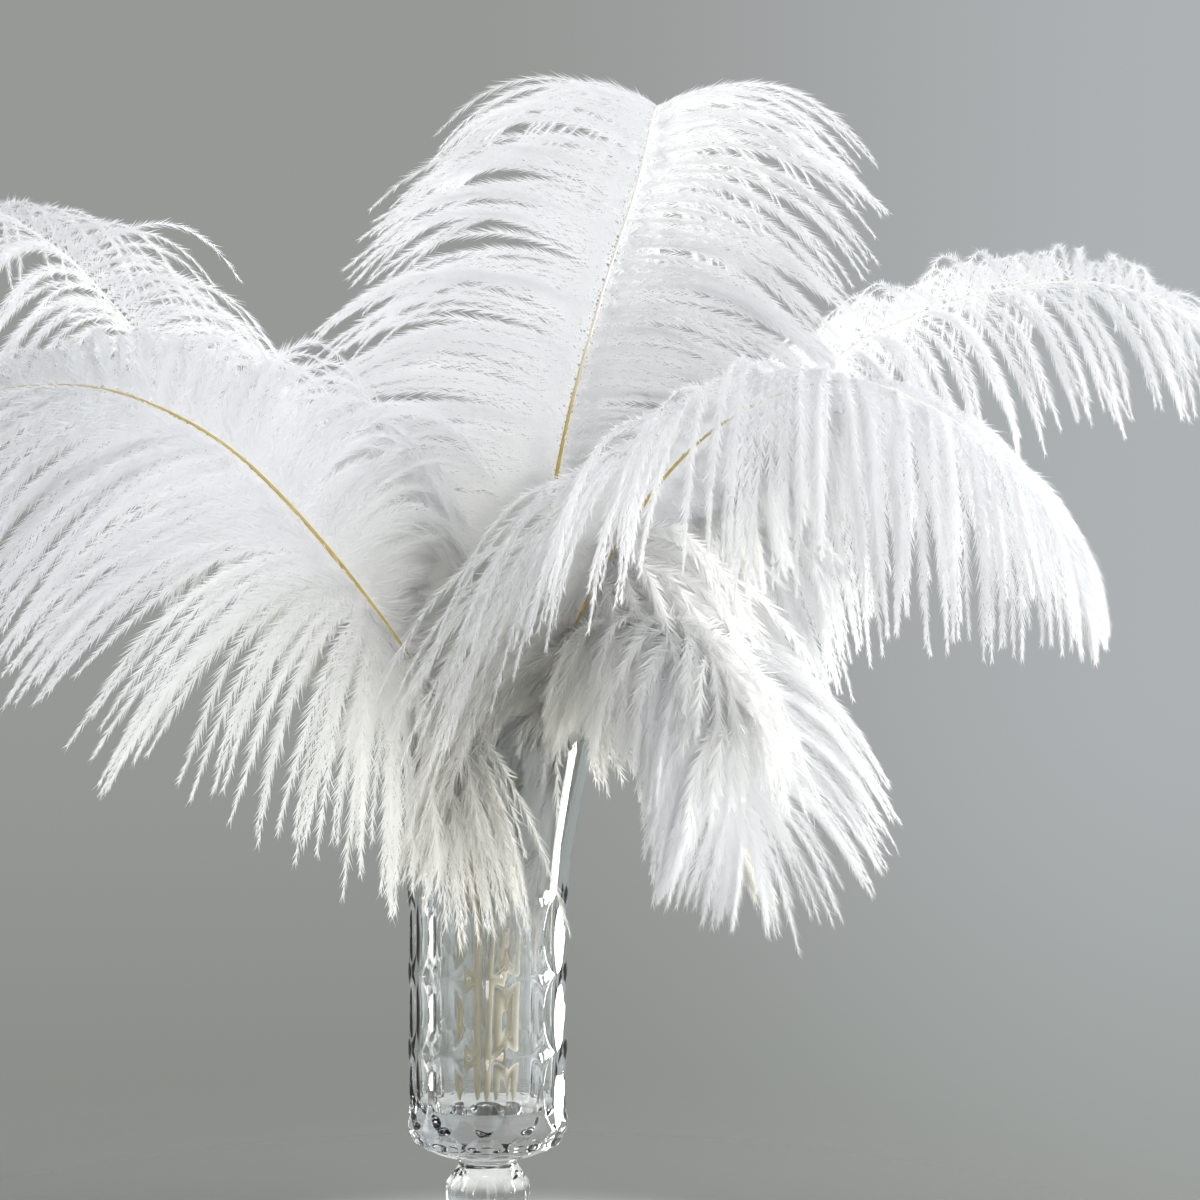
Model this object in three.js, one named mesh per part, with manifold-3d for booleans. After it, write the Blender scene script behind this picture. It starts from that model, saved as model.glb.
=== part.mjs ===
// Six white ostrich plumes standing in a tall footed vase of cut crystal.
// Millimetres, +Z up. The origin is the centre of the vase's foot, on the surface that it stands on.
// +X is the right of the arrangement and -Y its front. Each plume grew as one piece, and so is one
// solid: a bare quill, and a shaft that carries two vanes whose barbs part into pointed locks.
import * as THREE from "three";
import { mergeVertices } from "three/addons/utils/BufferGeometryUtils.js";
import Module from "manifold-3d";

const wasm = await Module();
wasm.setup();

// ---------- Driving dimensions ----------

const CLEARANCE = 0.35; // gap kept between touching pieces
const VASE_MARGIN = 1.5; // gap kept between the vase and the vanes
const DEGREE = Math.PI / 180;

// The vase: radii and heights of its outside from the foot up, and of its inside from the rim down.
const FLUTES = 12; // broad upright cuts round the bowl
const FLUTE_DEPTH = 1.3;
const FLUTE_STEPS = 2; // faces across one flute
const FLUTES_BEGIN = [52, 60]; // heights between which they run in, and out
const FLUTES_END = [152, 178];
const FLOOR_HEIGHT = 74; // inside of the bowl, above its thick base
const RIM_HEIGHT = 238;
const OUTSIDE = [
  [41, 0], [42, 2], [40, 4.5], [24, 9], [12, 15], [10.5, 20], [16, 29], [17.5, 33], [17.5, 41],
  [12.5, 48], [12, 51], [23, 54], [31, 58], [33.5, 64], [33.5, 160], [35.8, 180],
  [40.2, 204], [44.8, 226], [48.5, RIM_HEIGHT],
];
const INSIDE = [
  [45.6, RIM_HEIGHT], [41.4, 226], [36.8, 204], [32.2, 180], [29.8, 160], [29.8, 80], [28.6, FLOOR_HEIGHT],
];

// The quills stand on the vase's floor in a ring, and are cut from one round section.
const QUILL_RADIUS = 2.4;
const QUILL_SIDES = 8;
const QUILL_STEPS = 7; // stretches along its length
const QUILL_RING = 7.6; // radius of the ring on which the six quills stand
const QUILL_OVERLAP = 9; // how far the quill's tube runs into the vane's ridge

// A vane is a thin sheet of barbs with the shaft as its ridge.
const SHAFT_HALF = [2.2, 0.7]; // half width of the shaft where the vane begins and at the tip
const SHEET_HALF = [0.8, 0.55]; // half thickness of the vane beside the shaft and at the locks
const MIDDLE_AT = 0.3; // shares of a barb's length: a row that gives the sheet its curve,
const SPLIT_AT = 0.6; // the row at which the locks part,
const SHOULDER_AT = 0.82; // and the row at which a lock has narrowed
const SHOULDER_WIDTH = 0.56; // width left there
const [SPLIT, SHOULDER, TIP] = [3, 4, 5]; // rows of the sheet, counted outwards from the shaft
const LOCKS = 20; // on each side of a plume
const LEFT_LOCKS_SHIFT = 7; // keeps the two sides' locks from ending alike
const BARB_STEPS = 30; // steps in which a barb's curve is summed
const CLOSING = 50; // degrees by which the last barbs close up towards the shaft's tip
const HANG_CURVE = 1.3; // how late along a barb its fall sets in
const ROOM_REACH = 1.04; // how far the room kept free round a vane passes the longest lock's tip

// Each plume:
// ring: its quill's place on the ring, in degrees;
// vaneFrom: the share of its length at which the vane begins;
// reach: the length of its barbs at the vane's start, over its middle and at its tip, for the right
//   and the left vane;
// side: the compass direction of its right vane there, in degrees, seen with the shaft's back up;
// lift: how far the barbs of the right and the left vane rise off the shaft's back, in degrees;
// angle: how far the barbs stand off the shaft at the vane's start, over its middle and at its tip,
//   for the right and the left vane, in degrees;
// hang: how strongly the barbs of each vane fall, at its start and at its tip;
// shaft: where its shaft runs from the vase's floor to the tip, as [x, y, z].
const PLUMES = {
  centre_plume: {
    ring: 90, vaneFrom: 0.36, reach: [[66, 141, 76], [64, 136, 72]], side: [-8, -8, -8],
    lift: [22, 28], angle: [[92, 80, 66], [92, 80, 66]], hang: [[0.8, 1.9], [0.8, 1.9]],
    shaft: [[7, 10, 180], [14, 22, 242], [29.5, 50, 348], [47, 68, 418],
            [63, 84, 470], [72, 108, 509], [76, 140, 512], [80, 168, 490]],
  },
  front_right_plume: {
    ring: -30, vaneFrom: 0.38, reach: [[132, 158, 48], [132, 156, 46]], side: [246, 224, 248],
    lift: [6, 4], angle: [[92, 80, 66], [92, 80, 66]], hang: [[2.1, 3.2], [1.7, 3.2]],
    shaft: [[13.6, -5, 180], [30.5, -20, 258], [60, -40, 317], [95, -56, 355],
            [140, -66, 372], [178, -74, 360], [210, -80, 336], [230, -84, 312]],
  },
  front_left_plume: {
    ring: 210, vaneFrom: 0.36, reach: [[145, 142, 70], [158, 168, 84]], side: [118, 62, 110],
    lift: [34, -14], angle: [[92, 80, 66], [98, 52, 58]], hang: [[2, 2.2], [1.2, 1.5]],
    shaft: [[-8, -6, 180], [-20, -12, 237], [-51, -30, 289], [-94, -48, 339],
            [-132, -58, 363], [-167, -66, 370], [-203, -76, 361], [-244, -88, 318]],
  },
  back_left_plume: {
    ring: 150, vaneFrom: 0.38, reach: [[64, 122, 66], [64, 122, 66]], side: [40, 52, 62],
    lift: [22, 20], angle: [[92, 80, 66], [92, 80, 66]], hang: [[1.6, 2.1], [1.6, 2.1]],
    shaft: [[-7.5, 7, 180], [-26, 25, 242], [-72, 55, 298], [-122, 78, 353],
            [-168, 98, 411], [-202, 112, 446], [-237, 124, 465], [-270, 134, 463], [-292, 141, 449]],
  },
  back_right_plume: {
    ring: 30, vaneFrom: 0.4, reach: [[60, 118, 54], [60, 118, 54]], side: [-110, -100, -82],
    lift: [-14, 42], angle: [[92, 80, 66], [92, 80, 66]], hang: [[1.8, 2.1], [1.8, 2.1]],
    shaft: [[12, 5.5, 180], [26, 9, 232], [68, 16, 292], [107, 22, 348],
            [148, 28, 388], [177, 32, 405], [221, 40, 420], [266, 50, 424], [306, 59, 412], [324, 63, 400]],
  },
  front_low_plume: {
    ring: -90, vaneFrom: 0.62, reach: [[84, 90, 42], [94, 104, 48]], side: [214, 218, 222],
    lift: [-2, 2], angle: [[56, 50, 62], [92, 78, 66]], hang: [[2.2, 1.4], [1.8, 1.2]],
    shaft: [[6, -12.5, 180], [22, -21, 231], [45, -41, 264], [62, -62, 275],
            [81, -84, 270], [94, -104, 248], [100, -117, 224], [101, -125, 203]],
  },
};

const FEATHER_FINISH = { color: 0xf1f1f0, roughness: 0.85, metalness: 0 };
const CRYSTAL_FINISH = { color: 0xe4ecee, roughness: 0.05, metalness: 0, transparent: true, opacity: 0.4 };

// ---------- Small tools ----------

const lerp = THREE.MathUtils.lerp;
const smoothstep = THREE.MathUtils.smoothstep;

function solidFrom(geometry) {
  const bare = geometry.clone();
  bare.deleteAttribute("normal");
  bare.deleteAttribute("uv");
  const merged = mergeVertices(bare, 1e-4);
  return new wasm.Manifold(
    new wasm.Mesh({
      numProp: 3,
      vertProperties: merged.attributes.position.array,
      triVerts: new Uint32Array(merged.index.array),
    }),
  );
}

function geometryFrom(solid) {
  const mesh = solid.getMesh();
  return new THREE.BufferGeometry()
    .setAttribute("position", new THREE.BufferAttribute(mesh.vertProperties, 3))
    .setIndex(new THREE.BufferAttribute(mesh.triVerts, 1));
}

// Collects triangles and gives them back as one geometry.
class Skin {
  corners = [];
  triangle(a, b, c) {
    for (const p of [a, b, c]) this.corners.push(p.x, p.y, p.z);
  }
  quad(a, b, c, d) {
    this.triangle(a, b, c);
    this.triangle(a, c, d);
  }
  geometry() {
    return new THREE.BufferGeometry().setAttribute(
      "position",
      new THREE.Float32BufferAttribute(this.corners, 3),
    );
  }
}

// ---------- The vase ----------

// The bowl's radius drops between the ridges, and the flutes run out at their two ends.
function flutedRadius(radius, height, step) {
  const across = (step % FLUTE_STEPS) / FLUTE_STEPS;
  const hollow = Math.sin(Math.PI * across);
  const foot = smoothstep(height, ...FLUTES_BEGIN);
  const head = 1 - smoothstep(height, ...FLUTES_END);
  return radius - FLUTE_DEPTH * hollow * foot * head;
}

function vaseRing([radius, height], fluted) {
  const steps = FLUTES * FLUTE_STEPS;
  return Array.from({ length: steps }, (_, step) => {
    const angle = (2 * Math.PI * step) / steps;
    const r = fluted ? flutedRadius(radius, height, step) : radius;
    return new THREE.Vector3(r * Math.cos(angle), r * Math.sin(angle), height);
  });
}

function vaseGeometry() {
  const rings = [...OUTSIDE.map((p) => vaseRing(p, true)), ...INSIDE.map((p) => vaseRing(p, false))];
  const skin = new Skin();
  const around = rings[0].length;
  const underside = new THREE.Vector3(0, 0, 0);
  const floor = new THREE.Vector3(0, 0, FLOOR_HEIGHT);
  for (let i = 0; i < around; i++) {
    const j = (i + 1) % around;
    skin.triangle(underside, rings[0][j], rings[0][i]);
    skin.triangle(floor, rings.at(-1)[i], rings.at(-1)[j]);
    for (let k = 0; k + 1 < rings.length; k++)
      skin.quad(rings[k][i], rings[k][j], rings[k + 1][j], rings[k + 1][i]);
  }
  return skin.geometry();
}

// The room the vase takes, its mouth filled and a little larger all round, that no vane may enter.
function vaseRoomGeometry() {
  const top = RIM_HEIGHT + VASE_MARGIN;
  const wall = OUTSIDE.map(([r, z]) => [r + VASE_MARGIN, z]);
  const grown = [[0, -VASE_MARGIN], ...wall, [OUTSIDE.at(-1)[0], top], [0, top]];
  const profile = grown.map(([r, z]) => new THREE.Vector2(r, z));
  return new THREE.LatheGeometry(profile, FLUTES * FLUTE_STEPS).rotateX(Math.PI / 2);
}

// ---------- The plumes ----------

function shaftCurve(plume) {
  const angle = plume.ring * DEGREE;
  const foot = [QUILL_RING * Math.cos(angle), QUILL_RING * Math.sin(angle), FLOOR_HEIGHT + CLEARANCE];
  const points = [foot, ...plume.shaft].map((p) => new THREE.Vector3(...p));
  return new THREE.CatmullRomCurve3(points, false, "catmullrom", 0.5);
}

// The shaft's place, direction, right-hand side and back at share v of the vane.
function shaftFrame(plume, curve, v) {
  const u = lerp(plume.vaneFrom, 1, v);
  const along = curve.getTangentAt(u);
  const compass = alongVane(plume.side, v) * DEGREE;
  const side = new THREE.Vector3(Math.cos(compass), Math.sin(compass), 0);
  side.addScaledVector(along, -side.dot(along)).normalize();
  const back = new THREE.Vector3().crossVectors(side, along);
  return { place: curve.getPointAt(u), along, side, back };
}

// A value that is given at the vane's start, over its middle and at its tip.
function alongVane([start, middle, tip], v) {
  if (v < 0.6) return lerp(start, middle, smoothstep(v, 0, 0.3));
  return lerp(middle, tip, ((v - 0.6) / 0.4) ** 1.5);
}

// Barbs stand about square to the shaft at its foot and point ever further forward to the tip.
function barbAngle(openings, v) {
  return (alongVane(openings, v) - CLOSING * smoothstep(v, 0.8, 1)) * DEGREE;
}

// Points along one barb, at the given shares of its length: it lifts off the shaft and then hangs.
function barbPoints(plume, frame, v, hand, shares) {
  const vane = hand > 0 ? 0 : 1;
  const angle = barbAngle(plume.angle[vane], v);
  const lift = plume.lift[vane] * DEGREE;
  const start = frame.along
    .clone()
    .multiplyScalar(Math.cos(angle))
    .addScaledVector(frame.side, hand * Math.sin(angle) * Math.cos(lift))
    .addScaledVector(frame.back, Math.sin(angle) * Math.sin(lift));
  const hang = lerp(...plume.hang[vane], v);
  const step = alongVane(plume.reach[vane], v) / BARB_STEPS;
  const track = [frame.place.clone()];
  for (let i = 0; i < BARB_STEPS; i++) {
    const fall = hang * ((i + 0.5) / BARB_STEPS) ** HANG_CURVE;
    const heading = start.clone().add(new THREE.Vector3(0, 0, -fall)).normalize();
    track.push(track[i].clone().addScaledVector(heading, step));
  }
  return shares.map((share) => {
    const at = Math.min(share * BARB_STEPS, BARB_STEPS - 1e-6);
    const below = Math.floor(at);
    return track[below].clone().lerp(track[below + 1], at - below);
  });
}

// Lock tips end unevenly, as they do on a real plume.
function unevenness(lock) {
  return 1 + 0.05 * Math.sin(lock * 2.4) + 0.03 * Math.sin(lock * 5.1);
}

// Two points, one on each face of the sheet, about a point of its middle.
function faces(point, normal, half) {
  return {
    top: point.clone().addScaledVector(normal, half),
    bottom: point.clone().addScaledVector(normal, -half),
  };
}

// Both vanes of a plume as one closed sheet. With a margin it is the room that they take, which is
// the same sheet, thicker by the margin and with no gaps between its locks.
function vaneGeometry(plume, curve, margin = 0) {
  const room = margin > 0;
  const skin = new Skin();
  const stations = Array.from({ length: LOCKS + 1 }, (_, k) => k / LOCKS);
  const frames = stations.map((v) => shaftFrame(plume, curve, v));
  for (const hand of [1, -1]) {
    const quad = (a, b, c, d) => (hand > 0 ? skin.quad(a, b, c, d) : skin.quad(d, c, b, a));
    const triangle = (a, b, c) => (hand > 0 ? skin.triangle(a, b, c) : skin.triangle(c, b, a));
    const shaftHalf = stations.map((v) => lerp(...SHAFT_HALF, v));
    const lines = stations.map((v, k) => {
      const beside = shaftHalf[k] / alongVane(plume.reach[hand > 0 ? 0 : 1], v);
      const shares = [0, beside, MIDDLE_AT, SPLIT_AT, SHOULDER_AT, room ? ROOM_REACH : 1];
      return barbPoints(plume, frames[k], v, hand, shares);
    });
    // The sheet's own normal, from its neighbours along and across.
    const normalAt = (k, i) => {
      if (i === 0) return frames[k].back;
      const on = lines[Math.min(k + 1, LOCKS)][i].clone().sub(lines[Math.max(k - 1, 0)][i]);
      const out = lines[k][Math.min(i + 1, TIP)].clone().sub(lines[k][i - 1]);
      return on.cross(out).multiplyScalar(-hand).normalize();
    };
    const halfAt = (k, i) => (i === 0 ? shaftHalf[k] : lerp(...SHEET_HALF, i / TIP)) + margin;
    const rows = lines.map((line, k) => line.map((p, i) => faces(p, normalAt(k, i), halfAt(k, i))));
    const shared = room ? TIP : SPLIT; // the last row that neighbouring locks share
    for (let k = 0; k < LOCKS; k++) {
      const [near, far] = [rows[k], rows[k + 1]];
      for (let i = 0; i < shared; i++) {
        quad(near[i].top, near[i + 1].top, far[i + 1].top, far[i].top);
        quad(near[i].bottom, far[i].bottom, far[i + 1].bottom, near[i + 1].bottom);
      }
      if (room) {
        quad(near[TIP].top, near[TIP].bottom, far[TIP].bottom, far[TIP].top);
        continue;
      }
      const mix = (i, share) => lines[k][i].clone().lerp(lines[k + 1][i], share);
      const pinch = (1 - SHOULDER_WIDTH) / 2;
      const normal = normalAt(k, SHOULDER).clone().add(normalAt(k + 1, SHOULDER)).normalize();
      const nearSide = faces(mix(SHOULDER, pinch), normal, SHEET_HALF[1]);
      const farSide = faces(mix(SHOULDER, 1 - pinch), normal, SHEET_HALF[1]);
      const grown = unevenness(k + (hand > 0 ? 0 : LEFT_LOCKS_SHIFT));
      const tip = mix(SHOULDER, 0.5).lerp(mix(TIP, 0.5), grown);
      const [nearSplit, farSplit] = [near[SPLIT], far[SPLIT]];
      quad(nearSplit.top, nearSide.top, farSide.top, farSplit.top);
      quad(nearSplit.bottom, farSplit.bottom, farSide.bottom, nearSide.bottom);
      triangle(nearSide.top, tip, farSide.top);
      triangle(nearSide.bottom, farSide.bottom, tip);
      quad(nearSplit.top, nearSplit.bottom, nearSide.bottom, nearSide.top);
      triangle(nearSide.top, nearSide.bottom, tip);
      quad(farSplit.top, farSide.top, farSide.bottom, farSplit.bottom);
      triangle(farSide.top, tip, farSide.bottom);
    }
    // The sheet's two ends, at the foot of the vane and at its tip.
    for (let i = 0; i < shared; i++) {
      const [first, last] = [rows[0], rows[LOCKS]];
      quad(first[i].top, first[i].bottom, first[i + 1].bottom, first[i + 1].top);
      quad(last[i].top, last[i + 1].top, last[i + 1].bottom, last[i].bottom);
    }
  }
  return skin.geometry();
}

// The bare quill, from the vase's floor to a little way into the vane's ridge.
function quillGeometry(plume, curve, radius) {
  const upTo = plume.vaneFrom + QUILL_OVERLAP / curve.getLength();
  const shares = Array.from({ length: QUILL_STEPS + 1 }, (_, i) => i / QUILL_STEPS);
  const points = shares.map((share) => curve.getPointAt(upTo * share));
  const section = new THREE.Shape(
    Array.from({ length: QUILL_SIDES }, (_, i) => {
      const angle = (2 * Math.PI * i) / QUILL_SIDES;
      return new THREE.Vector2(radius * Math.cos(angle), radius * Math.sin(angle));
    }),
  );
  return new THREE.ExtrudeGeometry(section, {
    steps: QUILL_STEPS,
    extrudePath: new THREE.CatmullRomCurve3(points, false, "catmullrom", 0.5),
  });
}

// What is left of a solid that was cut, without the crumbs.
function mainPiece(solid) {
  return solid.decompose().reduce((a, b) => (b.volume() > a.volume() ? b : a));
}

// ---------- The arrangement ----------

const arrangement = new THREE.Group();

function addPiece(name, geometry, finish) {
  const mesh = new THREE.Mesh(geometry, new THREE.MeshStandardMaterial(finish));
  mesh.name = name;
  arrangement.add(mesh);
}

addPiece("crystal_vase", vaseGeometry(), CRYSTAL_FINISH);

const plumes = Object.entries(PLUMES).map(([name, plume]) => {
  const curve = shaftCurve(plume);
  return {
    name,
    vane: solidFrom(vaneGeometry(plume, curve)),
    quill: solidFrom(quillGeometry(plume, curve, QUILL_RADIUS)),
    vaneRoom: solidFrom(vaneGeometry(plume, curve, CLEARANCE)),
    quillRoom: solidFrom(quillGeometry(plume, curve, QUILL_RADIUS + CLEARANCE)),
  };
});

// Where two plumes cross, the one further down the list gives way.
const vaseRoom = solidFrom(vaseRoomGeometry());
plumes.forEach(({ name, vane, quill }, place) => {
  let cut = vane.subtract(vaseRoom);
  plumes.forEach((other, otherPlace) => {
    if (otherPlace !== place) cut = cut.subtract(other.quillRoom);
    if (otherPlace < place) cut = cut.subtract(other.vaneRoom).subtract(other.vane);
  });
  addPiece(name, geometryFrom(mainPiece(mainPiece(cut).add(quill))), FEATHER_FINISH);
});

export default arrangement;
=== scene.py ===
import math

import bpy
import numpy as np
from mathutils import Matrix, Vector


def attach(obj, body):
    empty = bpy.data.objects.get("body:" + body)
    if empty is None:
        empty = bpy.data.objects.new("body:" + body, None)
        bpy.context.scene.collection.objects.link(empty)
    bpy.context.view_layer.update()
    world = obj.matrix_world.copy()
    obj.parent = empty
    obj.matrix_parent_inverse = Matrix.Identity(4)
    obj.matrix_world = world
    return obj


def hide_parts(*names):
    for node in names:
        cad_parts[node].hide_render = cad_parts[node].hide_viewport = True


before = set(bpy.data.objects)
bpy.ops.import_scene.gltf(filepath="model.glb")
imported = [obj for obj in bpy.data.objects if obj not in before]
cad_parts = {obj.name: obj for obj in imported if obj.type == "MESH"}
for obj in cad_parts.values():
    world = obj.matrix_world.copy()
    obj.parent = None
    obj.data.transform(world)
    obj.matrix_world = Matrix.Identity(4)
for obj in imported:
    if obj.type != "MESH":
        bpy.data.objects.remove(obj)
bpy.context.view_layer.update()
MM = 0.001


# ---------------------------------------------------------------- The vase
# A footed vase of clear lead crystal, blown in one piece with its foot and knop, then cut on a wheel:
# twelve upright columns of long olive cuts, stacked end to end, with a small diamond between four
# olives, and a row of thumb cuts round the bowl's foot. Polished all over.


def linear(hex_colour):
    """An sRGB hex colour as the linear colour that a shader takes."""
    channels = [int(hex_colour[i : i + 2], 16) / 255 for i in (1, 3, 5)]
    return (*[c / 12.92 if c < 0.04045 else ((c + 0.055) / 1.055) ** 2.4 for c in channels], 1.0)


def add_node(tree, kind, sockets=None, **settings):
    """Adds a node. A socket takes a plain value, or another node's output."""
    node = tree.nodes.new(kind)
    for name, value in settings.items():
        setattr(node, name, value)
    for key, value in (sockets or {}).items():
        if isinstance(value, bpy.types.NodeSocket):
            tree.links.new(value, node.inputs[key])
        else:
            node.inputs[key].default_value = value
    return node


def new_material(name):
    """An empty node material and its output node."""
    material = bpy.data.materials.new(name)
    material.use_nodes = True
    material.node_tree.nodes.clear()
    return material, add_node(material.node_tree, "ShaderNodeOutputMaterial")


def mesh_object(name, points, faces, material):
    """A mesh object at the origin, from an array of points and an array of triangles or quads."""
    mesh = bpy.data.meshes.new(name)
    corners = faces.shape[1]
    mesh.vertices.add(len(points))
    mesh.vertices.foreach_set("co", np.ascontiguousarray(points, np.float32).ravel())
    mesh.loops.add(faces.size)
    mesh.loops.foreach_set("vertex_index", np.ascontiguousarray(faces, np.int32).ravel())
    mesh.polygons.add(len(faces))
    mesh.polygons.foreach_set("loop_start", np.arange(0, faces.size, corners, dtype=np.int32))
    mesh.update(calc_edges=True)
    mesh.materials.append(material)
    obj = bpy.data.objects.new(name, mesh)
    bpy.context.scene.collection.objects.link(obj)
    return obj


def smoothstep(low, high, x):
    """0 below low, 1 above high, and a smooth rise between them."""
    t = np.clip((x - low) / (high - low), 0, 1)
    return t * t * (3 - 2 * t)


COLUMNS = 12
COLUMN_STEPS = 20  # faces across one column
OLIVE_ROWS = (66, 98, 130, 162)  # heights in mm at which the olive cuts meet
OLIVE_DEPTH = 1.5
OLIVE_OVERLAP = 1.04  # above 1, an olive's ends run into the next one's
OLIVE_WIDTH = 0.97  # share of a column
DIAMOND_DEPTH = 0.9
DIAMOND_HALF_HEIGHT = 5.5
DIAMOND_WIDTH = 0.42  # share of a column
THUMB_DEPTH = 2.2
THUMB_HEIGHT = 60.5
THUMB_HALF_HEIGHT = 4.6
THUMB_WIDTH = 0.86  # share of a column
CUTS_BEGIN = (50, 56)  # heights between which the bowl's cuts run in
KNOP_BEGINS, KNOP_ENDS = (26, 32), (41, 47)
KNOP_DEPTH = 0.9
KNOP_SHARPNESS = 2.4
OUTSIDE = [  # radius and height in mm, from the underside's edge up to the rim
    (41, 0), (42, 2), (40, 4.5), (24, 9), (12, 15), (10.5, 20), (16, 29), (17.5, 33), (17.5, 41),
    (12.5, 48), (12, 51), (23, 54), (31, 58), (33.5, 64), (33.5, 160), (35.8, 180),
    (40.2, 204), (44.8, 226), (48.5, 238),
]
INSIDE = [(45.6, 238), (41.4, 226), (36.8, 204), (32.2, 180), (29.8, 160), (29.8, 80), (28.6, 74)]


def resampled(profile, step):
    """A profile with its straight runs divided to a given step, in mm."""
    out = [profile[0]]
    for (r0, z0), (r1, z1) in zip(profile, profile[1:]):
        count = max(1, math.ceil(math.hypot(r1 - r0, z1 - z0) / step))
        out += [(r0 + (r1 - r0) * i / count, z0 + (z1 - z0) * i / count) for i in range(1, count + 1)]
    return out


def rounded(profile, passes):
    """Softens a profile's corners, and keeps its two ends."""
    points = np.array(profile, float)
    for _ in range(passes):
        points[1:-1] = 0.25 * points[:-2] + 0.5 * points[1:-1] + 0.25 * points[2:]
    return points


def cut_depth(angle, height):
    """How deep the wheel has cut at an angle and a height on the bowl, in mm."""
    column = 2 * math.pi / COLUMNS
    across = 2 * np.abs(angle / column - np.round(angle / column))  # 0 mid column, 1 at its edge
    depth = np.zeros(np.broadcast(angle, height).shape)
    for low, high in zip(OLIVE_ROWS, OLIVE_ROWS[1:]):
        along = np.abs(2 * height - low - high) / (high - low)
        depth = np.maximum(depth, OLIVE_DEPTH * (OLIVE_OVERLAP - along**2 - (across / OLIVE_WIDTH) ** 2))
    for row in OLIVE_ROWS[1:]:
        from_row = np.abs(height - row) / DIAMOND_HALF_HEIGHT
        depth = np.maximum(depth, DIAMOND_DEPTH * (1 - from_row - (1 - across) / DIAMOND_WIDTH))
    thumb = ((height - THUMB_HEIGHT) / THUMB_HALF_HEIGHT) ** 2 + (across / THUMB_WIDTH) ** 2
    return np.maximum(depth, THUMB_DEPTH * (1 - thumb))


def knop_depth(angle, height):
    """The knop's twelve pointed facets, cut down from its shoulder."""
    facet = angle * COLUMNS / (2 * math.pi) + 0.5
    across = np.abs(facet - np.round(facet))
    band = smoothstep(*KNOP_BEGINS, height) * (1 - smoothstep(*KNOP_ENDS, height))
    return band * (1.0 - KNOP_SHARPNESS * across) * KNOP_DEPTH


crystal, crystal_out = new_material("polished lead crystal")
# Lead crystal bends light more than window glass does, which gives the cuts their bright edges.
crystal_shader = add_node(
    crystal.node_tree,
    "ShaderNodeBsdfPrincipled",
    {"Base Color": linear("#FBFDFD"), "Roughness": 0.0, "IOR": 1.545, "Transmission Weight": 1.0},
)
crystal.node_tree.links.new(crystal_shader.outputs[0], crystal_out.inputs["Surface"])


SHARP_EDGE = 24  # degrees, from which an edge between cuts stays crisp


def make_vase():
    """The vase as one closed mesh, turned from its profile and cut."""
    around = COLUMNS * COLUMN_STEPS
    outside = rounded(resampled(OUTSIDE, 1.0), 3)
    inside = rounded(resampled(INSIDE, 2.5), 2)
    angle = np.arange(around) * 2 * math.pi / around
    rows = []
    for radius, height in outside:
        r = radius - cut_depth(angle, height) * smoothstep(*CUTS_BEGIN, height) - knop_depth(angle, height)
        rows.append(np.stack([r * np.cos(angle), r * np.sin(angle), np.full(around, height)], 1))
    for radius, height in inside:
        rows.append(np.stack([radius * np.cos(angle), radius * np.sin(angle), np.full(around, height)], 1))
    points = np.concatenate([*rows, [[0, 0, 0]], [[0, 0, inside[-1][1]]]]) * MM
    i = np.arange(around)
    j = (i + 1) % around
    last = len(rows) - 1
    walls = [np.stack([k * around + i, k * around + j, (k + 1) * around + j, (k + 1) * around + i], 1)
             for k in range(last)]
    quads = np.concatenate(walls)
    triangles = np.concatenate([quads[:, [0, 1, 2]], quads[:, [0, 2, 3]]])
    underside = np.stack([np.full(around, len(points) - 2), j, i], 1)
    floor = np.stack([np.full(around, len(points) - 1), last * around + i, last * around + j], 1)
    vase = mesh_object("vase", points, np.concatenate([triangles, underside, floor]), crystal)
    vase.data.shade_smooth()
    vase.data.set_sharp_from_angle(angle=math.radians(SHARP_EDGE))
    return vase


vase = make_vase()
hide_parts("crystal_vase")
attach(vase, "root")


# ---------------------------------------------------------------- The plumes' shafts
# An ostrich wing plume's shaft is keratin, like a fingernail: a hollow quill, bare below, that runs
# on as a solid, tapering shaft. It is pale amber and glossy, and the fine groove along its underside
# is left out.

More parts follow.
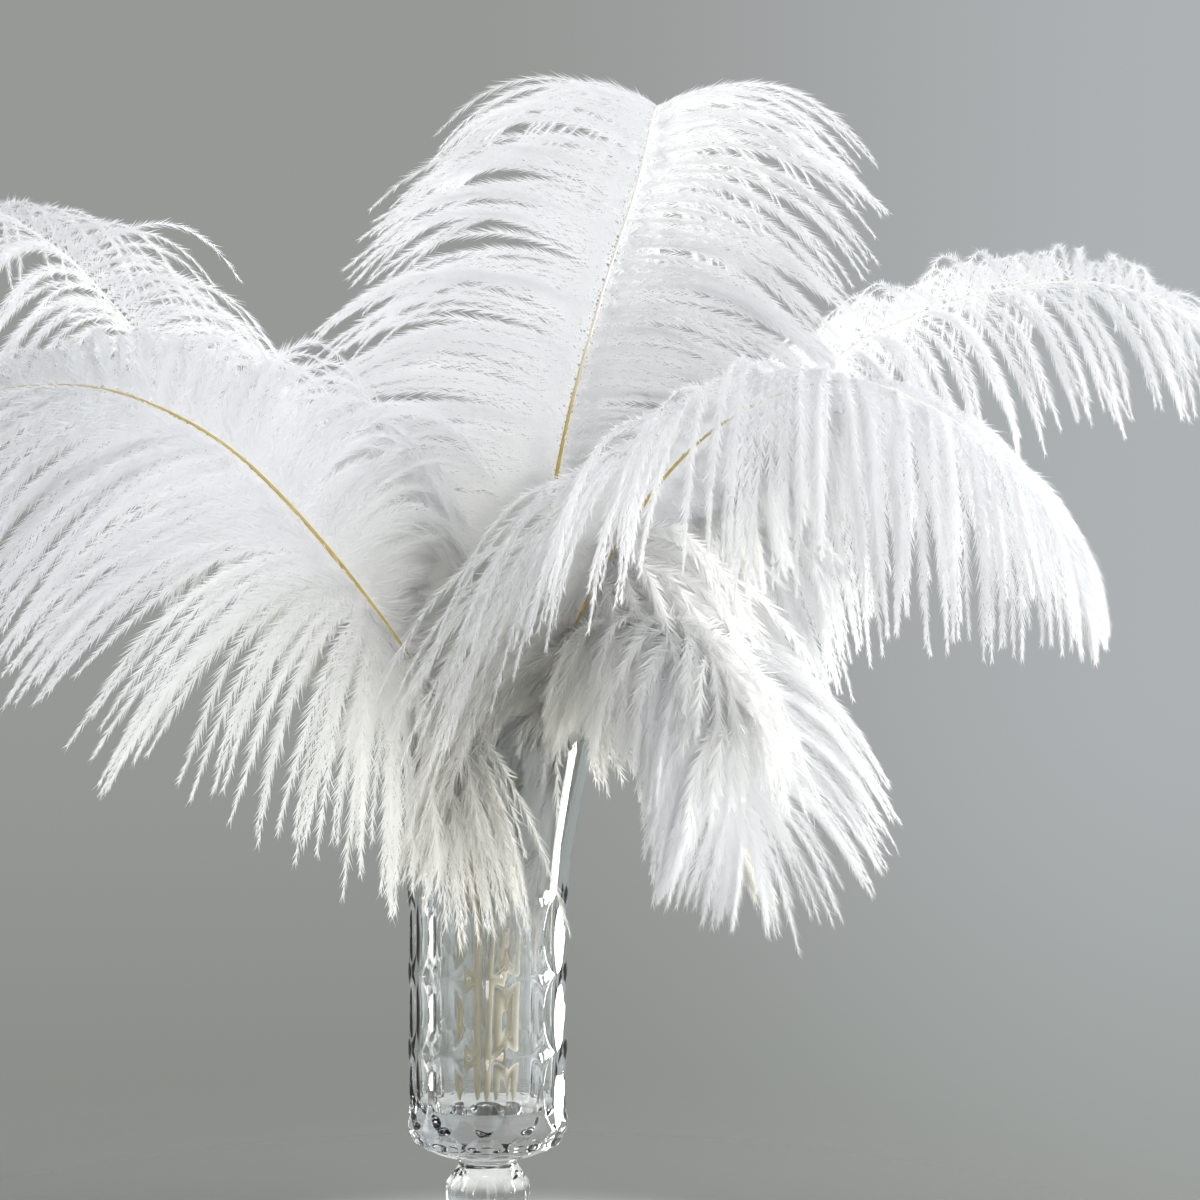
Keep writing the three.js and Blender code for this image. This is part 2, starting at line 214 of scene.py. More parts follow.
# Each plume: ring, the quill's place on the vase's floor in degrees; vane_from, the share of the
# length at which the vane begins; reach, the barbs' length in mm at the vane's start, middle and
# tip, for the right vane and then for the left; side, the compass direction of the right vane at
# the same three places; lift, how far the barbs rise out of the vane's plane there, right and left;
# angle, between barbs and shaft there, right and left; hang, how strongly the barbs fall at the
# vane's start and tip, right and left; amber_to, the share of the vane at which the shaft's amber
# ends; down, from which share of the length to which it grows, and how many barbs it has;
# down_reach, their length in mm; barbs, how many each vane has; shaft, its route in mm.
PLUMES = {
    "centre_plume": dict(
        ring=90, vane_from=0.36, reach=((66, 141, 64), (64, 136, 54)),
        side=(-8, -8, -8), lift=((22, 22, 22), (28, 28, 28)), angle=((92, 80, 66), (92, 80, 66)),
        hang=((0.8, 1.9), (0.8, 1.9)), amber_to=0.5, barbs=215,
        down=(0.24, 0.43, 175), down_reach=(32, 70),
        shaft=[(7, 10, 180), (14, 22, 242), (29.5, 50, 348), (47, 68, 418),
               (63, 84, 470), (72, 108, 509), (76, 140, 512), (80, 168, 490)],
    ),
    "front_right_plume": dict(
        ring=-30, vane_from=0.38, reach=((145, 160, 48), (132, 156, 46)),
        side=(246, 224, 248), lift=((6, 6, 6), (-75, 4, 4)), angle=((92, 80, 66), (92, 80, 66)),
        hang=((2.1, 3.2), (1.7, 3.2)), amber_to=0.6, barbs=205,
        down=(0.19, 0.52, 250), down_reach=(40, 80),
        shaft=[(13.6, -5, 180), (30.5, -20, 258), (60, -40, 317), (95, -56, 355),
               (140, -66, 372), (178, -74, 360), (210, -80, 336), (230, -84, 312)],
    ),
    "front_left_plume": dict(
        ring=210, vane_from=0.36, reach=((145, 142, 70), (172, 168, 84)),
        side=(118, 62, 110), lift=((34, 34, 34), (-14, -14, -14)), angle=((92, 80, 66), (98, 52, 58)),
        hang=((2, 2.2), (1.2, 1.5)), amber_to=0.95, barbs=205,
        down=(0.26, 0.39, 90), down_reach=(22, 46),
        shaft=[(-8, -6, 180), (-20, -12, 237), (-51, -30, 289), (-94, -48, 339),
               (-132, -58, 363), (-167, -66, 370), (-203, -76, 361), (-244, -88, 318)],
    ),
    "back_left_plume": dict(
        ring=150, vane_from=0.38, reach=((64, 122, 66), (64, 122, 66)),
        side=(40, 52, 62), lift=((22, 22, 22), (20, 20, 20)), angle=((92, 80, 66), (92, 80, 66)),
        hang=((1.6, 2.1), (1.6, 2.1)), amber_to=0.1, barbs=145,
        down=(0.27, 0.41, 60), down_reach=(22, 46),
        shaft=[(-7.5, 7, 180), (-26, 25, 242), (-72, 55, 298), (-122, 78, 353),
               (-168, 98, 411), (-202, 112, 446), (-237, 124, 465), (-270, 134, 463), (-292, 141, 449)],
    ),
    "back_right_plume": dict(
        ring=30, vane_from=0.4, reach=((60, 118, 54), (60, 118, 54)),
        side=(-110, -100, -82), lift=((-14, -14, -14), (42, 42, 42)), angle=((92, 80, 66), (92, 80, 66)),
        hang=((1.8, 2.1), (1.8, 2.1)), amber_to=0.1, barbs=145,
        down=(0.17, 0.36, 240), down_reach=(40, 80),
        shaft=[(12, 5.5, 180), (26, 9, 232), (68, 16, 292), (107, 22, 348),
               (148, 28, 388), (177, 32, 405), (221, 40, 420), (266, 50, 424), (306, 59, 412),
               (324, 63, 400)],
    ),
    "front_low_plume": dict(
        ring=-90, vane_from=0.62, reach=((84, 90, 42), (94, 104, 48)),
        side=(214, 218, 222), lift=((-2, -2, -2), (2, 2, 2)), angle=((56, 50, 62), (92, 78, 66)),
        hang=((2.2, 1.4), (1.8, 1.2)), amber_to=0.05, barbs=150,
        down=(0.32, 0.9, 230), down_reach=(24, 46),
        shaft=[(6, -12.5, 180), (22, -21, 231), (45, -41, 264), (62, -62, 275),
               (81, -84, 270), (94, -104, 248), (100, -117, 224), (101, -125, 203)],
    ),
}
QUILL_RING = 7.6  # mm, the ring on which the six quills stand
QUILL_FOOT = 74.35  # mm, just clear of the vase's floor
QUILL_RADIUS = 2.3
SHAFT_RADII = (1.15, 0.3)  # mm, where the vane begins and at the tip
SHAFT_STATIONS = 120
ROUTE_STEPS = 60  # points on the curve between two places of a shaft's route
HEADING_SHARE = 0.004  # share of a track's length over which its direction is taken


def shaft_track(plume):
    """Points 1 to 2 mm apart along a plume's shaft, on a smooth curve through its route."""
    ring = math.radians(plume["ring"])
    route = [(QUILL_RING * math.cos(ring), QUILL_RING * math.sin(ring), QUILL_FOOT), *plume["shaft"]]
    p = np.array(route, float)
    p = np.concatenate([[2 * p[0] - p[1]], p, [2 * p[-1] - p[-2]]])
    t = np.linspace(0, 1, ROUTE_STEPS, endpoint=False)[:, None]
    runs = []
    for a, b, c, d in zip(p, p[1:], p[2:], p[3:]):
        runs.append(0.5 * (2 * b + (c - a) * t + (2 * a - 5 * b + 4 * c - d) * t**2
                           + (3 * b - a - 3 * c + d) * t**3))
    return np.concatenate([*runs, p[-2:-1]])


def at_shares(track, shares):
    """Places and directions at shares of a track's length."""
    steps = np.linalg.norm(np.diff(track, axis=0), axis=1)
    travelled = np.concatenate([[0], np.cumsum(steps)]) / steps.sum()
    place = np.stack([np.interp(shares, travelled, track[:, k]) for k in range(3)], 1)
    ahead = np.stack([np.interp(shares + HEADING_SHARE, travelled, track[:, k]) for k in range(3)], 1)
    behind = np.stack([np.interp(shares - HEADING_SHARE, travelled, track[:, k]) for k in range(3)], 1)
    return place, unit(ahead - behind)


def unit(v):
    """Rows of vectors at a length of 1."""
    return v / np.linalg.norm(v, axis=-1, keepdims=True)


keratin, keratin_out = new_material("amber keratin shaft")
# Keratin is faintly see-through and waxy. Its amber is mottled along the shaft, in patches of about
# 6 mm, and fades to near white towards the tip.
AMBER_PATCH = 6.25  # mm
tree = keratin.node_tree
coordinates = add_node(tree, "ShaderNodeTexCoord")
mottle = add_node(
    tree, "ShaderNodeTexNoise",
    {"Vector": coordinates.outputs["Object"], "Scale": 1 / (AMBER_PATCH * MM), "Detail": 3.0},
)
paleness = add_node(tree, "ShaderNodeAttribute", attribute_name="paleness")
MIX_FACTOR, MIX_A, MIX_B, MIX_RESULT = 0, 6, 7, 2  # sockets of a Mix node that mixes colours
amber = add_node(
    tree, "ShaderNodeMix", data_type="RGBA",
    sockets={MIX_FACTOR: mottle.outputs["Fac"], MIX_A: linear("#9C8030"), MIX_B: linear("#D2BC6C")},
)
faded = add_node(
    tree, "ShaderNodeMix", data_type="RGBA",
    sockets={
        MIX_FACTOR: paleness.outputs["Fac"], MIX_A: amber.outputs[MIX_RESULT], MIX_B: linear("#F4F1E8")
    },
)
keratin_shader = add_node(
    tree, "ShaderNodeBsdfPrincipled",
    {"Base Color": faded.outputs[MIX_RESULT], "Roughness": 0.38, "IOR": 1.55, "Coat Weight": 0.15},
)
tree.links.new(keratin_shader.outputs[0], keratin_out.inputs["Surface"])


def shaft_tree():
    """Geometry Nodes: a round tube along a polyline, as thick as its "radius" attribute says."""
    tree = bpy.data.node_groups.new("shaft tube", "GeometryNodeTree")
    face = tree.interface
    face.new_socket("Route", in_out="INPUT", socket_type="NodeSocketGeometry")
    face.new_socket("Sides", in_out="INPUT", socket_type="NodeSocketInt")
    face.new_socket("Finish", in_out="INPUT", socket_type="NodeSocketMaterial")
    face.new_socket("Tube", in_out="OUTPUT", socket_type="NodeSocketGeometry")
    given = add_node(tree, "NodeGroupInput")
    curve = add_node(tree, "GeometryNodeMeshToCurve", {"Mesh": given.outputs["Route"]})
    radius = add_node(tree, "GeometryNodeInputNamedAttribute", {"Name": "shaft_radius"}, data_type="FLOAT")
    section = add_node(tree, "GeometryNodeCurvePrimitiveCircle", {"Resolution": given.outputs["Sides"]})
    section.inputs["Radius"].default_value = 1.0
    tube = add_node(
        tree, "GeometryNodeCurveToMesh",
        {
            "Curve": curve.outputs["Curve"], "Profile Curve": section.outputs["Curve"],
            "Scale": radius.outputs["Attribute"], "Fill Caps": True,
        },
    )
    real = add_node(tree, "GeometryNodeRealizeInstances", {"Geometry": tube.outputs["Mesh"]})
    finished = add_node(
        tree, "GeometryNodeSetMaterial",
        {"Geometry": real.outputs["Geometry"], "Material": given.outputs["Finish"]},
    )
    add_node(tree, "NodeGroupOutput", {"Tube": finished.outputs["Geometry"]})
    return tree


def baked(obj, name):
    """The object with its modifiers turned into a plain mesh, in its place."""
    graph = bpy.context.evaluated_depsgraph_get()
    mesh = bpy.data.meshes.new_from_object(obj.evaluated_get(graph))
    bpy.data.objects.remove(obj)
    mesh.name = name
    piece = bpy.data.objects.new(name, mesh)
    bpy.context.scene.collection.objects.link(piece)
    return piece


SHAFT_TREE = shaft_tree()
SHAFT_SIDES = 10
QUILL_PALENESS = 0.5  # the bare quill is paler than the shaft above it


def make_shaft(name, plume):
    """A plume's quill and shaft as one tapering tube."""
    shares = np.linspace(0, 1, SHAFT_STATIONS)
    place, _ = at_shares(shaft_track(plume), shares)
    v = np.clip((shares - plume["vane_from"]) / (1 - plume["vane_from"]), 0, 1)
    bare = smoothstep(plume["vane_from"], plume["vane_from"] * 0.55, shares)
    radius = SHAFT_RADII[0] + (SHAFT_RADII[1] - SHAFT_RADII[0]) * v
    radius = radius + (QUILL_RADIUS - SHAFT_RADII[0]) * bare
    radius *= 0.35 + 0.65 * smoothstep(-0.002, 0.02, shares)  # the quill's blunt lower end
    paleness = smoothstep(0.55, 1.05, v / plume["amber_to"]) + QUILL_PALENESS * bare * (v == 0)
    mesh = bpy.data.meshes.new(name + "_route")
    mesh.from_pydata((place * MM).tolist(), [(i, i + 1) for i in range(SHAFT_STATIONS - 1)], [])
    for attribute, values in (("shaft_radius", radius * MM), ("paleness", paleness)):
        mesh.attributes.new(attribute, "FLOAT", "POINT").data.foreach_set("value", values.astype(np.float32))
    route = bpy.data.objects.new(name + "_route", mesh)
    bpy.context.scene.collection.objects.link(route)
    tube = route.modifiers.new("tube", "NODES")
    tube.node_group = SHAFT_TREE
    for socket, value in (("Sides", SHAFT_SIDES), ("Finish", keratin)):
        tube[SHAFT_TREE.interface.items_tree[socket].identifier] = value
    shaft = baked(route, name + "_shaft")
    shaft.data.shade_smooth()
    return shaft


for name, plume in PLUMES.items():
    shaft = make_shaft(name, plume)
    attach(shaft, "root")


# ---------------------------------------------------------------- The plumes' barbs
# Each side of the shaft carries hundreds of long limp barbs, bleached white, and every barb is
# edged with soft loose barbules that don't hook together. So the barbs hang free, cling together in
# pointed locks and let light through. Down near the quill they are shorter, softer and creamier.

barbs, barbs_out = new_material("bleached ostrich barbs")
# Thin keratin filaments scatter light on both of their sides, and more than half of what meets them
# goes on through. Bleaching leaves them white, and the natural cream shows where the barbs begin.
SHARE_THROUGH = 0.62
tree = barbs.node_tree
cream = add_node(tree, "ShaderNodeAttribute", attribute_name="cream")
flue = add_node(
    tree, "ShaderNodeMix", data_type="RGBA",
    sockets={MIX_FACTOR: cream.outputs["Fac"], MIX_A: linear("#FDFDFE"), MIX_B: linear("#FDFCF7")},
)
facing = add_node(
    tree, "ShaderNodeBsdfPrincipled",
    {"Base Color": flue.outputs[MIX_RESULT], "Roughness": 0.8, "Specular IOR Level": 0.0},
)
through = add_node(tree, "ShaderNodeBsdfTranslucent", {"Color": flue.outputs[MIX_RESULT]})
both = add_node(
    tree, "ShaderNodeMixShader", {0: SHARE_THROUGH, 1: facing.outputs[0], 2: through.outputs[0]}
)
tree.links.new(both.outputs[0], barbs_out.inputs["Surface"])

BARB_STEPS = 30  # steps in which a barb's curve is summed
BARBULES = 200  # on each edge of a barb
BARBULE_LENGTH = 9.6  # mm
BARBULE_ROOT = 2  # steps along the barb that a barbule's root spans
HANG_CURVE = 1.3  # how late along a barb its fall sets in
CLOSING = 50  # degrees by which the last barbs close up towards the shaft's tip
LOCK_BARBS = (1, 5)  # fewest barbs in a lock, and one more than the most
LOCK_CLING = 0.42  # how far a lock's barbs draw together at their tips
CROWDING = 1.6  # above 1, barbs stand closer together where the vane begins
# How barbs differ: by a drift along the vane, from lock to lock, and from barb to barb.
ANGLE_VARIES = (1.2, 1.4, 1.2)  # degrees
LIFT_VARIES = (1.5, 2.4, 2.5)  # degrees
HANG_VARIES = (0.08, 0.07, 0.05)  # shares of the fall
LOCK_LENGTH_VARIES, BARB_SHORTER = 0.04, 0.12  # shares of the length
LOCK_SWAY, BARB_SWAY = 1.6, 0.9  # mm
BARBULE_SPREAD = (6, 25)  # degrees
BARBULE_TILT = 0.12


def along_vane(values, v):
    """A value that is given at the vane's start, over its middle and at its tip."""
    start, middle, tip = values
    first = start + (middle - start) * smoothstep(0, 0.3, v)
    second = middle + (tip - middle) * np.clip((v - 0.6) / 0.4, 0, 1) ** 1.5
    return np.where(v < 0.6, first, second)


def shaft_frames(plume, v):
    """Place, direction, right-hand side and back of the shaft at shares v of the vane."""
    start = plume["vane_from"]
    place, along = at_shares(shaft_track(plume), start + (1 - start) * v)
    compass = np.radians(along_vane(plume["side"], v))
    side = np.stack([np.cos(compass), np.sin(compass), np.zeros_like(v)], 1)
    side = unit(side - along * np.sum(side * along, 1, keepdims=True))
    return place, along, side, np.cross(side, along)


def column(values):
    """An array of numbers as a column, to scale rows of vectors."""
    return np.asarray(values)[:, None]


def hanging(place, start, hang, length):
    """Curves that leave their place in a direction and bend ever more to the ground."""
    t = (np.arange(BARB_STEPS) + 0.5) / BARB_STEPS
    heading = np.repeat(start[:, None, :], BARB_STEPS, 1)
    heading[:, :, 2] -= column(hang) * t[None, :] ** HANG_CURVE
    steps = unit(heading) * (np.asarray(length) / BARB_STEPS)[:, None, None]
    return np.concatenate([place[:, None, :], place[:, None, :] + np.cumsum(steps, 1)], 1)


def outside_radius(height):
    """The vase's outer radius at a height, in mm."""
    return np.interp(height, [z for _, z in OUTSIDE], [r for r, _ in OUTSIDE])


def inside_radius(height):
    """The hollow's radius at a height, in mm."""
    return np.interp(height, [z for _, z in INSIDE[::-1]], [r for r, _ in INSIDE[::-1]])


RIM_HEIGHT = OUTSIDE[-1][1]
RIM_MIDDLE = 47.0  # mm, a barb that passes the rim's height within this falls inside the vase
GLASS_GAP = 1.2  # mm, between barbs and glass


def falls_inside(tracks):
    """Which tracks go down into the vase, as one flag for each."""
    low = tracks[:, :, 2] < RIM_HEIGHT
    first = np.argmax(low, 1)
    crossing = tracks[np.arange(len(tracks)), first]
    return low.any(1) & (np.hypot(crossing[:, 0], crossing[:, 1]) < RIM_MIDDLE)


def kept_off_glass(points, inside):
    """Points moved sideways to the hollow's side of the glass, or to its outer side."""
    radius = np.maximum(np.hypot(points[..., 0], points[..., 1]), 1e-6)
    height = points[..., 2]
    within = np.minimum(1, (inside_radius(height) - GLASS_GAP) / radius)
    without = np.maximum(1, (outside_radius(height) + GLASS_GAP) / radius)
    scale = np.where(height < RIM_HEIGHT + GLASS_GAP, np.where(inside, within, without), 1)
    moved = points.copy()
    moved[..., :2] *= scale[..., None]
    return moved


def locks_of(count, rng):
    """Numbers the barbs by lock: a few neighbours each."""
    sizes = rng.integers(*LOCK_BARBS, size=count)
    return np.repeat(np.arange(count), sizes)[:count]


def wandering(v, spread, rng):
    """A value that drifts smoothly to and fro along the vane."""
    rates, phases = rng.uniform(3, 14, (2, 4)), rng.uniform(0, 2 * math.pi, 4)
    return spread * sum(np.sin(2 * math.pi * rate * v + phase) for rate, phase in zip(rates[0], phases)) / 1.4


def vane_tracks(plume, hand, rng):
    """The barbs of one vane as curves, with their shares of the vane. They cling in locks."""
    count = plume["barbs"]
    v = ((np.arange(count) + rng.uniform(0.2, 0.8, count)) / count) ** CROWDING
    calm = 1 - 0.8 * smoothstep(0.6, 0.9, v)
    lock = locks_of(count, rng)
    lock_count = lock[-1] + 1
    by_lock = lambda spread: rng.normal(0, spread, lock_count)[lock] * calm
    single = lambda spread: rng.normal(0, spread, count)
    drift = lambda spread: wandering(v, spread, rng) * calm
    varied = lambda value, spreads: value + drift(spreads[0]) + by_lock(spreads[1]) + single(spreads[2])
    which = 0 if hand > 0 else 1
    place, along, side, back = shaft_frames(plume, v)
    angle = along_vane(plume["angle"][which], v) - CLOSING * smoothstep(0.8, 1, v)
    angle = np.radians(varied(angle, ANGLE_VARIES))
    lift = np.radians(varied(along_vane(plume["lift"][which], v), LIFT_VARIES))
    start = along * column(np.cos(angle)) + side * column(hand * np.sin(angle) * np.cos(lift))
    start += back * column(np.sin(angle) * np.sin(lift))
    first, last = plume["hang"][which]
    hang = first + (last - first) * v
    hang *= varied(1, HANG_VARIES)
    length = along_vane(plume["reach"][which], v)
    length = length * (1 + by_lock(LOCK_LENGTH_VARIES) - np.abs(single(BARB_SHORTER)))
    tracks = hanging(place, start, hang, length)
    share = np.linspace(0, 1, BARB_STEPS + 1)
    middle = np.stack([tracks[lock == k].mean(0) for k in range(lock_count)])[lock]
    cling = (LOCK_CLING * smoothstep(0.4, 1.0, share))[None, :, None]
    tracks = tracks * (1 - cling) + middle * cling
    sway = by_lock(LOCK_SWAY)[:, None] * np.sin(share * 5.0 + rng.uniform(0, 6.3, lock_count)[lock][:, None])
    sway += single(BARB_SWAY)[:, None] * np.sin(share * 9.0 + rng.uniform(0, 6.3, count)[:, None])
    tracks += along[:, None, :] * (sway * share**1.2)[:, :, None]
    inside = falls_inside(tracks)
    return kept_off_glass(tracks, inside[:, None]), inside, v


def feathered(tracks, along, inside, barbules, length, rng):
    """Barbs as one mesh: each is a line of short faces with a slender barbule on either edge."""
    count = len(tracks)
    s = np.linspace(0, 1, barbules + 1)
    at = s * BARB_STEPS
    below = np.minimum(at.astype(int), BARB_STEPS - 1)
    spine = tracks[:, below] + (tracks[:, below + 1] - tracks[:, below]) * (at - below)[None, :, None]
    ahead = unit(spine[:, 1:] - spine[:, :-1])
    normal = unit(np.cross(ahead, along[:, None, :]))
    edge = np.cross(normal, ahead)
    middle = (s[1:] + s[:-1]) / 2
    taper = (0.4 + 0.6 * smoothstep(0, 0.05, middle)) * (1 - 0.6 * smoothstep(0.68, 1, middle))
    tips = []
    for hand in (1, -1):
        shape = (count, barbules)
        widening = 1 + 1.2 * (1 - smoothstep(0, 0.12, middle)) - 0.3 * middle
        spread = np.radians(rng.uniform(*BARBULE_SPREAD, shape) * widening)[..., None]
        tilt = rng.normal(0, BARBULE_TILT, shape)[..., None]
        reach = (column(length) * taper * rng.uniform(0.65, 1.2, shape))[..., None]
        heading = unit(ahead * np.cos(spread) + edge * hand * np.sin(spread) + normal * tilt)
        tips.append(kept_off_glass(spine[:, :-1] + heading * reach, inside[:, None]))
    points = np.concatenate([spine, *tips], 1)
    k = np.arange(barbules)
    root = np.minimum(k + BARBULE_ROOT, barbules)
    left = np.stack([k, root, barbules + 1 + k], 1)
    right = np.stack([root, k, 2 * barbules + 1 + k], 1)
    per_barb = points.shape[1]
    faces = np.concatenate([left, right])[None] + (np.arange(count) * per_barb)[:, None, None]
    return points.reshape(-1, 3), faces.reshape(-1, 3), per_barb


DOWN_BARBULES = 70  # on each edge of a barb of down
DOWN_BARBULE_LENGTH = 1.4 * BARBULE_LENGTH
DOWN_TURN = 85  # degrees to each side of the quill's outer side


def down_tracks(plume, rng):
    """Downy barbs round the outer side of the shaft, from inside the vase up into the vanes."""
    first, last, count = plume["down"]
    shares = rng.uniform(first, last, count)
    place, along = at_shares(shaft_track(plume), shares)
    in_vane = smoothstep(plume["vane_from"] - 0.05, plume["vane_from"] + 0.1, shares)
    turn = np.radians(plume["ring"] + rng.uniform(-DOWN_TURN, DOWN_TURN, count) * (1 - 0.4 * in_vane))
    level = np.stack([np.cos(turn), np.sin(turn), rng.uniform(-0.2, 0.5, count)], 1)
    hang = rng.uniform(0.9, 2.2, count) + in_vane
    reach = rng.uniform(*plume["down_reach"], count) * (1 + 0.5 * in_vane)
    tracks = hanging(place, unit(level), hang, reach)
    inside = falls_inside(tracks)
    return kept_off_glass(tracks, inside[:, None]), along, inside, in_vane


DOWNY_PART = 0.35  # share of a vane, from its start, in which its barbs are downy
DOWNY_LONGER = 0.6  # how much longer the barbules are where the barbs are downiest
VANE_CREAM, CREAM_VARIES = 0.75, 0.04  # cream at the vane's start
DOWN_CREAM, DOWN_CREAM_LOST = 0.95, 0.7  # cream of the down below the vane, and its loss up the vane


def make_barbs(name, plume, seed):
    """Both vanes and the down of a plume as one mesh, with its share of cream at each point."""
    rng = np.random.default_rng(seed)
    meshes = []
    for hand in (1, -1):
        tracks, inside, v = vane_tracks(plume, hand, rng)
        _, along, _, _ = shaft_frames(plume, v)
        downy = 1 - smoothstep(0, DOWNY_PART, v)
        soft_length = BARBULE_LENGTH * (1 + DOWNY_LONGER * downy)
        points, faces, per_barb = feathered(tracks, along, inside, BARBULES, soft_length, rng)
        creamy = VANE_CREAM * downy + rng.normal(0, CREAM_VARIES, len(v))
        meshes.append((points, faces, np.repeat(np.clip(creamy, 0, 1), per_barb)))
    tracks, along, inside, in_vane = down_tracks(plume, rng)
    lengths = np.full(len(tracks), DOWN_BARBULE_LENGTH)
    points, faces, per_barb = feathered(tracks, along, inside, DOWN_BARBULES, lengths, rng)
    meshes.append((points, faces, np.repeat(DOWN_CREAM - DOWN_CREAM_LOST * in_vane, per_barb)))
    starts = np.cumsum([0] + [len(m[0]) for m in meshes[:-1]])
    points = np.concatenate([m[0] for m in meshes]) * MM
    faces = np.concatenate([m[1] + start for m, start in zip(meshes, starts)])
    piece = mesh_object(name + "_barbs", points, faces, barbs)
    creamy = np.concatenate([m[2] for m in meshes]).astype(np.float32)
    piece.data.attributes.new("cream", "FLOAT", "POINT").data.foreach_set("value", creamy)
    return piece


for seed, (name, plume) in enumerate(PLUMES.items()):
    piece = make_barbs(name, plume, seed)
    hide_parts(name)
    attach(piece, "root")


# ---------------------------------------------------------------- The table, the light and the camera
# A matt grey tabletop that fades out round the vase, with a pool of light painted pale on it round
# the vase's foot, in a soft grey room that is brighter on the right. A white wall on the right, a soft
# sky and three weaker panels light the plumes from the sides and from behind, and two soft beams from
# the front light the upper plume and the vase's mouth.

tabletop, tabletop_out = new_material("matt tabletop with painted pool of light")
tree = tabletop.node_tree
POOL_OF_LIGHT_FULL, POOL_OF_LIGHT_GONE = 0.05, 0.19  # m from the middle, between which the painted pool of light round the foot fades to the top's grey
TABLE_RADIUS, TABLE_SIDES = 0.6, 64
UNDER_FOOT = 0.0006  # m, so that the tabletop and the vase's underside don't lie in one plane
coordinates = add_node(tree, "ShaderNodeTexCoord")
from_centre = add_node(
    tree, "ShaderNodeVectorMath", {0: coordinates.outputs["Object"]}, operation="LENGTH"
)
fade = add_node(
    tree, "ShaderNodeMapRange",
    {
        "Value": from_centre.outputs["Value"],
        "From Min": 0.2 * TABLE_RADIUS, "From Max": 0.98 * TABLE_RADIUS, "To Min": 0.0, "To Max": 1.0,
    },
    interpolation_type="SMOOTHSTEP",
)
# A painted pool of light: the top is painted pale round the vase's foot and fades to grey further out.
painted_pool = add_node(
    tree, "ShaderNodeMapRange",
    {"Value": from_centre.outputs["Value"], "From Min": POOL_OF_LIGHT_FULL, "From Max": POOL_OF_LIGHT_GONE},
    interpolation_type="SMOOTHSTEP",
)
# The first colour is the painted pool of light, the second the tabletop's own grey.
pool_on_grey = add_node(
    tree, "ShaderNodeMix", data_type="RGBA",
    sockets={MIX_FACTOR: painted_pool.outputs["Result"], MIX_A: linear("#E4E4E1"), MIX_B: linear("#7E7F7C")},
)
matt = add_node(tree, "ShaderNodeBsdfDiffuse", {"Color": pool_on_grey.outputs[MIX_RESULT]})
clear = add_node(tree, "ShaderNodeBsdfTransparent")
faded = add_node(
    tree, "ShaderNodeMixShader", {0: fade.outputs["Result"], 1: matt.outputs[0], 2: clear.outputs[0]}
)
tree.links.new(faded.outputs[0], tabletop_out.inputs["Surface"])
turns = np.arange(TABLE_SIDES) * 2 * math.pi / TABLE_SIDES
rim = np.stack([np.cos(turns), np.sin(turns), np.zeros(TABLE_SIDES)], 1) * TABLE_RADIUS
spokes = np.arange(TABLE_SIDES)
table = mesh_object(
    "table", np.concatenate([rim, [[0, 0, 0]]]) - [0, 0, UNDER_FOOT],
    np.stack([spokes, (spokes + 1) % TABLE_SIDES, np.full(TABLE_SIDES, TABLE_SIDES)], 1), tabletop,
)

world = bpy.data.worlds.new("grey room")
world.use_nodes = True
bpy.context.scene.world = world
tree = world.node_tree
room = add_node(tree, "ShaderNodeTexCoord")
direction = add_node(tree, "ShaderNodeSeparateXYZ", {"Vector": room.outputs["Generated"]})
to_the_right = add_node(
    tree, "ShaderNodeMapRange", {"Value": direction.outputs["X"], "From Min": -0.06, "From Max": 0.22},
    interpolation_type="SMOOTHSTEP",
)
downwards = add_node(
    tree, "ShaderNodeMapRange", {"Value": direction.outputs["Z"], "From Min": -0.02, "From Max": -0.24},
    interpolation_type="SMOOTHSTEP",
)
wall = add_node(
    tree, "ShaderNodeMix", data_type="RGBA",
    sockets={MIX_FACTOR: to_the_right.outputs["Result"], MIX_A: linear("#979997"), MIX_B: linear("#AEB2B4")},
)
low_wall = add_node(
    tree, "ShaderNodeMix", data_type="RGBA", blend_type="MULTIPLY",
    sockets={
        MIX_FACTOR: downwards.outputs["Result"], MIX_A: wall.outputs[MIX_RESULT], MIX_B: linear("#E6E8E2")
    },
)
BRIGHT_SIDE = (0.86, -0.5, 0)  # a direction, in front on the right
BRIGHTEST = 1.8  # times as bright as the rest of the room
towards_bright = add_node(
    tree, "ShaderNodeVectorMath", {0: room.outputs["Generated"], 1: BRIGHT_SIDE}, operation="DOT_PRODUCT"
)
bright_side = add_node(
    tree, "ShaderNodeMapRange",
    {
        "Value": towards_bright.outputs["Value"],
        "From Min": 0.3, "From Max": 0.85, "To Min": 1.0, "To Max": BRIGHTEST,
    },
    interpolation_type="SMOOTHSTEP",
)
tree.links.new(low_wall.outputs[MIX_RESULT], tree.nodes["Background"].inputs["Color"])
tree.links.new(bright_side.outputs["Result"], tree.nodes["Background"].inputs["Strength"])


def place_light(name, lamp, place, target):
    """Hangs a lamp at a place, turned towards a target."""
    light = bpy.data.objects.new(name, lamp)
    light.location = place
    direction = Vector(target) - Vector(place)
    light.rotation_euler = direction.to_track_quat("-Z", "Y").to_euler()
    bpy.context.scene.collection.objects.link(light)
    return light


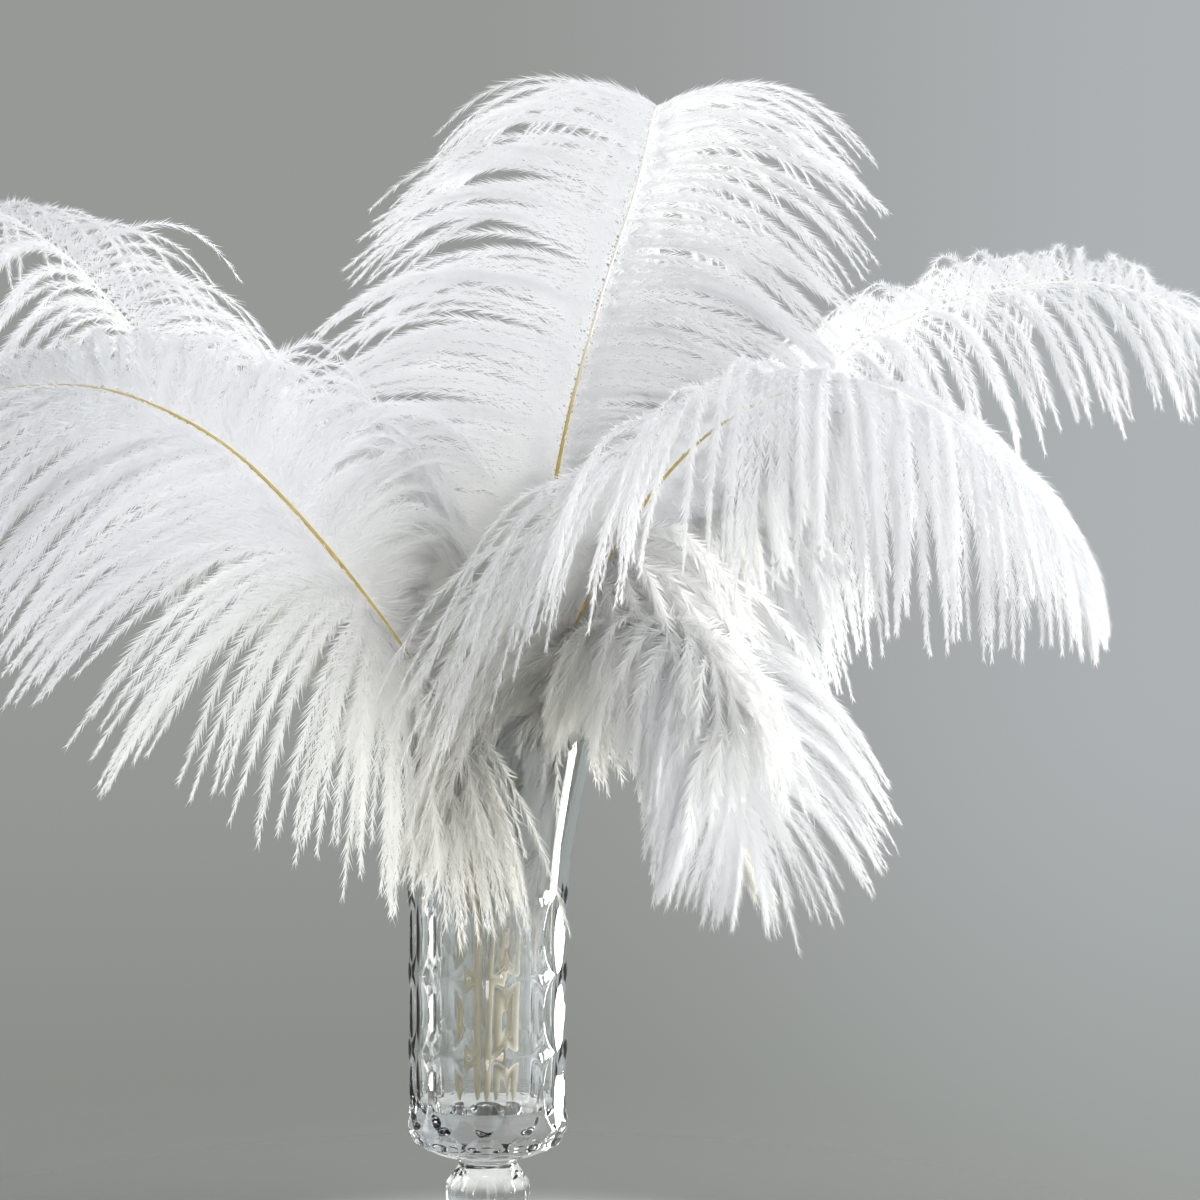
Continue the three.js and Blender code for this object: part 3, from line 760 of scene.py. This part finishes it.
def add_light(name, place, target, size, power, colour):
    """A rectangular panel of light, size in m, that a camera doesn't see."""
    lamp = bpy.data.lights.new(name, "AREA")
    lamp.shape = "RECTANGLE"
    lamp.size, lamp.size_y = size
    lamp.energy = power
    lamp.color = linear(colour)[:3]
    place_light(name, lamp, place, target).visible_camera = False


add_light("white wall", (1.25, -0.72, 0.3), (0, 0, 0.25), (2.0, 1.6), 13, "#FFFFFF")
add_light("sky", (0.4, 0.3, 1.9), (0, 0, 0.35), (1.2, 1.2), 14, "#F6F9FF")
add_light("right strip", (1.1, 0.45, 0.25), (0, 0, 0.25), (0.16, 0.9), 18, "#FFFDFA")
add_light("left strip", (-1.3, 0.2, 0.4), (0, 0, 0.25), (0.3, 1.3), 6, "#FFFFFF")
add_light("back left", (-1.1, 1.0, 0.9), (0, 0, 0.3), (0.8, 0.8), 12, "#FFFFFF")


def add_spot(name, place, target, degrees, power):
    """A lamp with a soft edged beam, like a snooted studio head."""
    lamp = bpy.data.lights.new(name, "SPOT")
    lamp.spot_size, lamp.spot_blend = math.radians(degrees), 1.0
    lamp.shadow_soft_size = 0.15
    lamp.energy = power
    place_light(name, lamp, place, target).visible_glossy = False


add_spot("upper spot", (0.75, -1.25, 0.75), (0.07, 0.08, 0.42), 24, 15)
add_spot("mouth spot", (0.1, -1.5, 0.2), (-0.01, -0.02, 0.25), 13, 68)

IMAGE_WIDTH = 1200
MM_PER_PIXEL = 0.42  # at the vase's axis
CAMERA_DISTANCE = 1.15
camera_data = bpy.data.cameras.new("camera")
camera_data.sensor_width = 36.0
camera_data.lens = camera_data.sensor_width * CAMERA_DISTANCE / (IMAGE_WIDTH * MM_PER_PIXEL * MM)
camera = bpy.data.objects.new("camera", camera_data)
camera.location = (0.047, -CAMERA_DISTANCE, 0.285)
camera.rotation_euler = (math.radians(90), 0, 0)
bpy.context.scene.collection.objects.link(camera)
bpy.context.scene.camera = camera

# Light passes through several barbs and through both walls of the glass.
bpy.context.scene.cycles.max_bounces = 6
bpy.context.scene.cycles.diffuse_bounces = 3
bpy.context.scene.cycles.transmission_bounces = 6
bpy.context.scene.cycles.glossy_bounces = 3
bpy.context.scene.cycles.transparent_max_bounces = 4
bpy.context.scene.view_settings.view_transform = "Standard"
